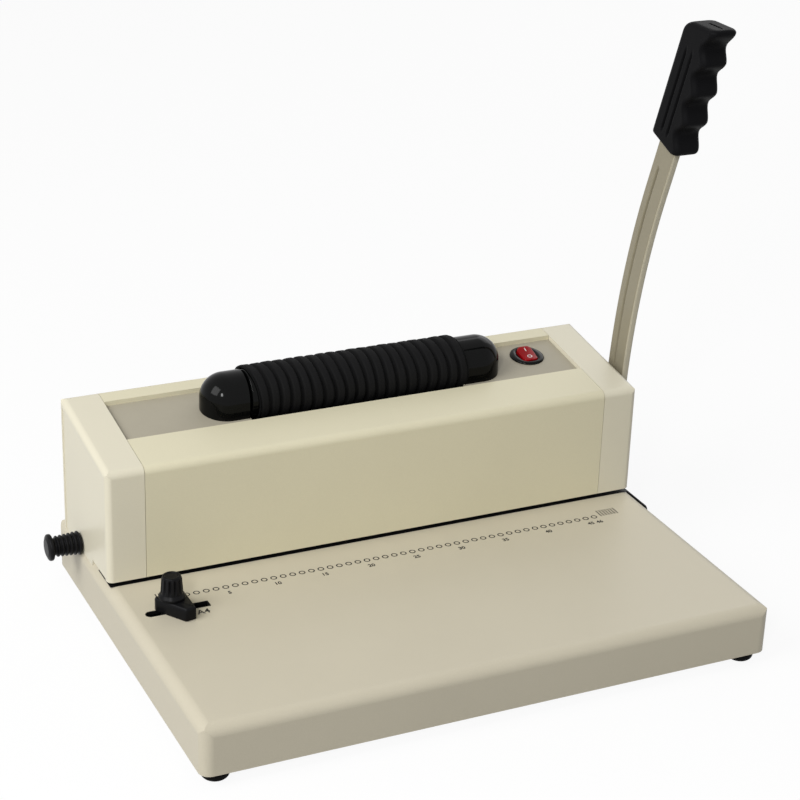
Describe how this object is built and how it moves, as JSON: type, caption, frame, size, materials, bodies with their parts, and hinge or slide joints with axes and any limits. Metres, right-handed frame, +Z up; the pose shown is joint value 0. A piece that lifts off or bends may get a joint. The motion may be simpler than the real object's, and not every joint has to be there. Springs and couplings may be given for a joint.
{
  "type": "coil binding machine",
  "caption": "Desk coil binding machine: lever-driven hole punch on a sheet steel base, with an electric ribbed roller, side guide, margin knob and slide-out chip tray.",
  "frame": {"origin": "middle of the object's box at desk level, under the middle of the base", "axes": "+X along the row of holes to the lever side, +Y from front to back, +Z up"},
  "size_m": [0.414, 0.274, 0.3695],
  "materials": {
    "cream_paint": "satin cream powder coat",
    "cream_plastic": "satin moulded plastic, cream",
    "panel_paint": "fine-textured grey-beige paint",
    "black_rubber": "matte black rubber",
    "gloss_black": "glossy black plastic",
    "black_plastic": "satin black plastic",
    "steel": "ground or zinc-plated steel",
    "bronze": "sintered bronze",
    "red_rocker": "glossy deep red plastic",
    "motor_paint": "dark grey painted steel can"
  },
  "bodies": {
    "machine": {"base_shell": "cream_paint", "bottom_plate": "steel", "rubber_feet": "black_rubber", "foot_screws": "steel", "side_frame_left": "steel", "side_frame_right": "steel", "frame_screws": "steel", "tie_bar": "steel", "die_block": "steel", "pin_guide_plate": "steel", "plate_screws": "steel", "guide_posts": "steel", "front_cover": "cream_paint", "rear_cover": "cream_paint", "top_panel": "panel_paint", "end_cap_left": "cream_plastic", "end_cap_right": "cream_plastic", "cover_screws": "steel", "shaft_bushes": "bronze", "return_springs": "steel", "bearing_cover_left": "gloss_black", "bearing_cover_right": "gloss_black", "roller_bearings": "steel", "drive_motor": "motor_paint", "motor_bracket": "steel", "drive_belt": "black_rubber", "switch_body": "gloss_black", "tray_rails": "steel", "mains_inlet": "black_plastic"},
    "lever": {"main_shaft": "steel", "cam_left": "steel", "cam_right": "steel", "lever_arm": "cream_paint", "lever_grip": "black_plastic", "lever_bolt": "steel"},
    "press": {"press_beam": "steel", "punch_pins": "steel"},
    "roller": {"roller_sleeve": "black_rubber", "roller_axle": "steel", "roller_pulley": "steel"},
    "motor_rotor": {"motor_pulley": "steel"},
    "rocker": {"switch_rocker": "red_rocker"},
    "margin": {"margin_rod": "steel", "margin_knob": "black_plastic"},
    "side_guide": {"guide_block": "black_plastic", "guide_clamp_screw": "steel"},
    "clamp": {"guide_clamp_knob": "black_plastic"},
    "tray": {"chip_tray": "black_plastic", "tray_front": "black_plastic"}
  },
  "joints": [
    {"name": "lever_pull", "type": "hinge", "parent": "machine", "child": "lever", "pos_m": [0, 0.08018, 0.088], "axis": [1, 0, 0], "range_deg": [0, 80], "stiffness_Nm_per_rad": 0.5, "springref_deg": -34.38},
    {"name": "press_stroke", "type": "slide", "parent": "machine", "child": "press", "axis": [0, 0, -1], "range_m": [0, 0.009], "deforming": ["return_springs"]},
    {"name": "roller_spin", "type": "hinge", "parent": "machine", "child": "roller", "pos_m": [0, 0.091, 0.12938], "axis": [1, 0, 0], "continuous": true},
    {"name": "motor_spin", "type": "hinge", "parent": "machine", "child": "motor_rotor", "pos_m": [-0.08, 0.107, 0.07], "axis": [1, 0, 0], "continuous": true},
    {"name": "switch_rock", "type": "hinge", "parent": "machine", "child": "rocker", "pos_m": [0.134, 0.09713, 0.12119], "axis": [1, 0, 0], "range_deg": [-18, 0]},
    {"name": "margin_turn", "type": "hinge", "parent": "machine", "child": "margin", "pos_m": [0, 0.0915, 0.0434], "axis": [1, 0, 0], "range_deg": [0, 180]},
    {"name": "guide_slide", "type": "slide", "parent": "machine", "child": "side_guide", "axis": [1, 0, 0], "range_m": [-0.013, 0.02]},
    {"name": "clamp_turn", "type": "hinge", "parent": "side_guide", "child": "clamp", "pos_m": [-0.1575, -0.0065, 0.058], "axis": [0, 0, 1], "range_deg": [0, 270]},
    {"name": "tray_slide", "type": "slide", "parent": "machine", "child": "tray", "axis": [1, 0, 0], "range_m": [0, 0.3]}
  ],
  "couplings": [
    {"joint": "press_stroke", "follows": "lever_pull", "m_per_rad": 0.006445},
    {"joint": "motor_spin", "follows": "roller_spin", "ratio": 1.5}
  ]
}
